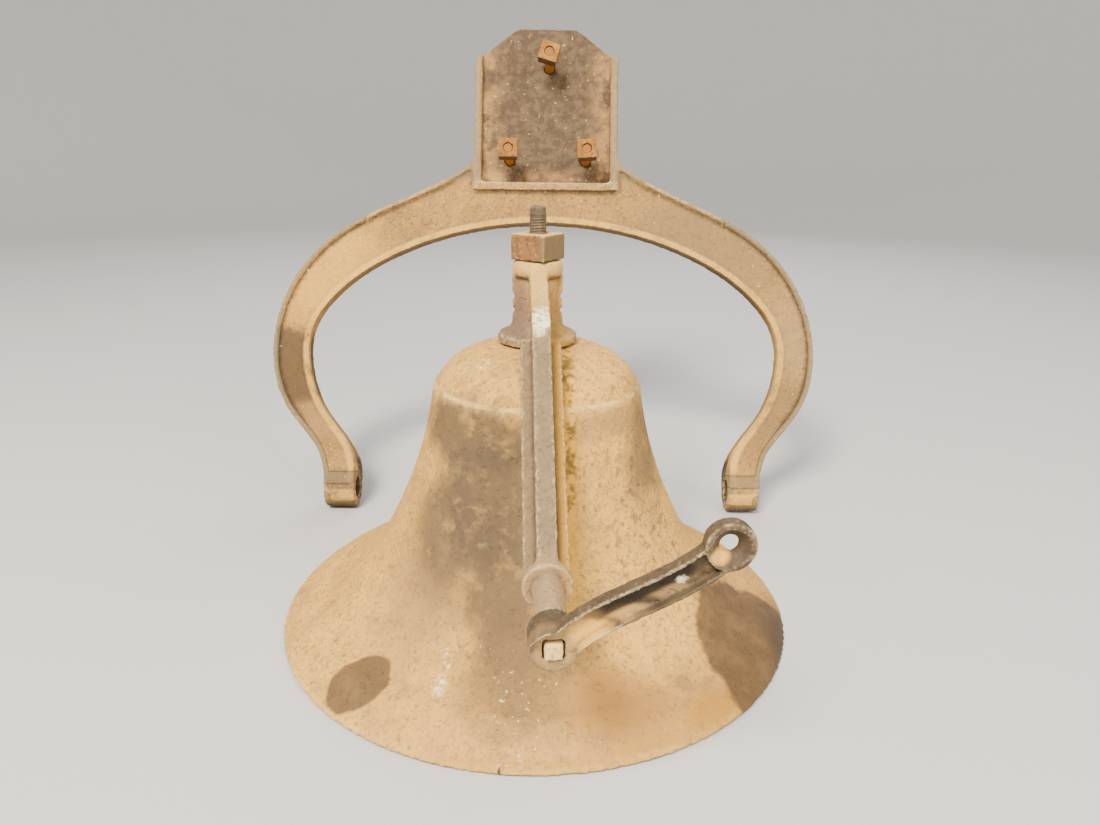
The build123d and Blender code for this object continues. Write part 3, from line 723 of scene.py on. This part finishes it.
def make_pieces():
    bell, hanger, yoke, crank = bell_paint(), hanger_paint(), yoke_paint(), crank_paint()
    yoke_nut = nut_paint("yoke_nut_iron", (0.20, 0.090, 0.030), (0.80, 0.50, 0.13), (0.19, 0.125, 0.055))
    post_nut = nut_paint("post_nut_iron", (0.28, 0.115, 0.016), (0.44, 0.20, 0.03))
    bolt, clapper = bolt_paint(), clapper_paint()
    casting("bell", bell, 2.2 * MM, 2, 0.6 * MM, 0.014, 1, chips=0.5 * MM)
    mark_sides(casting("hanger", hanger, 1.6 * MM, 3, 0.7 * MM, 0.012, 2, coved, chips=1.0 * MM))
    casting("yoke", yoke, 0.9 * MM, 3, 0.6 * MM, 0.010, 3, chips=0.8 * MM)
    casting("crank_lever", crank, 0.7 * MM, 3, 0.4 * MM, 0.006, 4, chips=0.6 * MM)
    casting("yoke_nut", yoke_nut, 0.7 * MM, 5, 0.5 * MM, 0.006, 5, chips=0.8 * MM)
    casting("clapper_bolt", bolt, 0.45 * MM, 1, 0.12 * MM, 0.004, 6, threaded)
    casting("clapper_rod", clapper, 0.8 * MM, 3, 0.3 * MM, 0.008, 7)
    casting("clapper_ball", clapper, 1.0 * MM, 3, 0.4 * MM, 0.008, 8)
    for index, name in enumerate(("top", "left", "right")):
        casting("post_nut_" + name, post_nut, 0.5 * MM, 4, 0.3 * MM, 0.004, 10 + index, chips=0.6 * MM)
        casting("post_bolt_" + name, bolt, 0.6 * MM, 3, 0.2 * MM, 0.004, 20 + index)
    for node, material in (("crown_washer", bolt), ("clapper_pin", bolt), ("cotter", bolt)):
        casting(node, material, 0.35 * MM, 1, 0.05 * MM, 0.004, 30)


# --- stage --------------------------------------------------------------------------------------
def make_stage():
    """A pale floor that turns up into a far wall all round."""
    flat, bend, wall = 3.0, 1.2, 3.4
    profile = [(0.0, 0.0), (1.0, 0.0), (2.0, 0.0)]
    for step in range(13):
        angle = math.radians(90 * step / 12)
        profile.append((flat + bend * math.sin(angle), bend - bend * math.cos(angle)))
    profile.append((flat + bend, wall))
    steps = 96
    places, faces = [], []
    for radius, height in profile:
        for step in range(steps):
            angle = 2 * math.pi * step / steps
            places.append((radius * math.cos(angle), radius * math.sin(angle), height))
    for ring in range(len(profile) - 1):
        for step in range(steps):
            a, b = ring * steps + step, ring * steps + (step + 1) % steps
            faces.append((a, b, b + steps, a + steps))
    mesh = bpy.data.meshes.new("floor")
    mesh.from_pydata(places, [], faces)
    mesh.polygons.foreach_set("use_smooth", [True] * len(mesh.polygons))
    floor = bpy.data.objects.new("floor", mesh)
    bpy.context.scene.collection.objects.link(floor)
    material = bpy.data.materials.new("floor")
    material.use_nodes = True
    shader = material.node_tree.nodes["Principled BSDF"]
    shader.inputs["Base Color"].default_value = (0.62, 0.61, 0.59, 1)
    shader.inputs["Roughness"].default_value = 0.9
    shader.inputs["Specular IOR Level"].default_value = 0.1
    mesh.materials.append(material)


def area_light(name, place, aim, size, watts, colour):
    lamp = bpy.data.lights.new(name, "AREA")
    lamp.size = size
    lamp.energy = watts
    lamp.color = colour
    light = bpy.data.objects.new(name, lamp)
    light.location = place
    light.rotation_euler = (Vector(aim) - Vector(place)).to_track_quat("-Z", "Y").to_euler()
    bpy.context.scene.collection.objects.link(light)


def make_lights():
    """A soft key from the upper left in front, a fill from the right, and an even pale sky."""
    area_light("key", (-0.7, -1.6, 2.1), (0, 0, 0.15), 0.8, 155, (1.0, 0.94, 0.84))
    area_light("fill", (1.5, -1.5, 1.3), (0, 0, 0.15), 1.4, 40, (1.0, 0.95, 0.87))
    area_light("back", (0.4, 2.0, 1.9), (0, 0.1, 0.2), 1.5, 30, (0.92, 0.96, 1.0))
    world = bpy.data.worlds.new("sky")
    world.use_nodes = True
    world.node_tree.nodes["Background"].inputs["Color"].default_value = (0.97, 0.98, 1.0, 1)
    world.node_tree.nodes["Background"].inputs["Strength"].default_value = 0.60
    bpy.context.scene.world = world


def make_camera():
    """The photograph's own viewpoint: low in front, looking down a little, with a slight roll."""
    pitch, roll = math.radians(18.50), math.radians(0.706)
    ahead = Vector((0, math.cos(pitch), -math.sin(pitch)))
    right, up = Vector((1, 0, 0)), Vector((0, math.sin(pitch), math.cos(pitch)))
    across = math.cos(roll) * right + math.sin(roll) * up
    upward = math.cos(roll) * up - math.sin(roll) * right
    lens = bpy.data.cameras.new("camera")
    lens.sensor_width = 36.0
    lens.lens = 27.03
    camera = bpy.data.objects.new("camera", lens)
    turn = Matrix((across, upward, -ahead)).transposed()
    camera.matrix_world = Matrix.Translation((0.0100, -0.5901, 0.3601)) @ turn.to_4x4()
    bpy.context.scene.collection.objects.link(camera)
    bpy.context.scene.camera = camera


make_camera()
make_stage()
make_lights()
make_pieces()
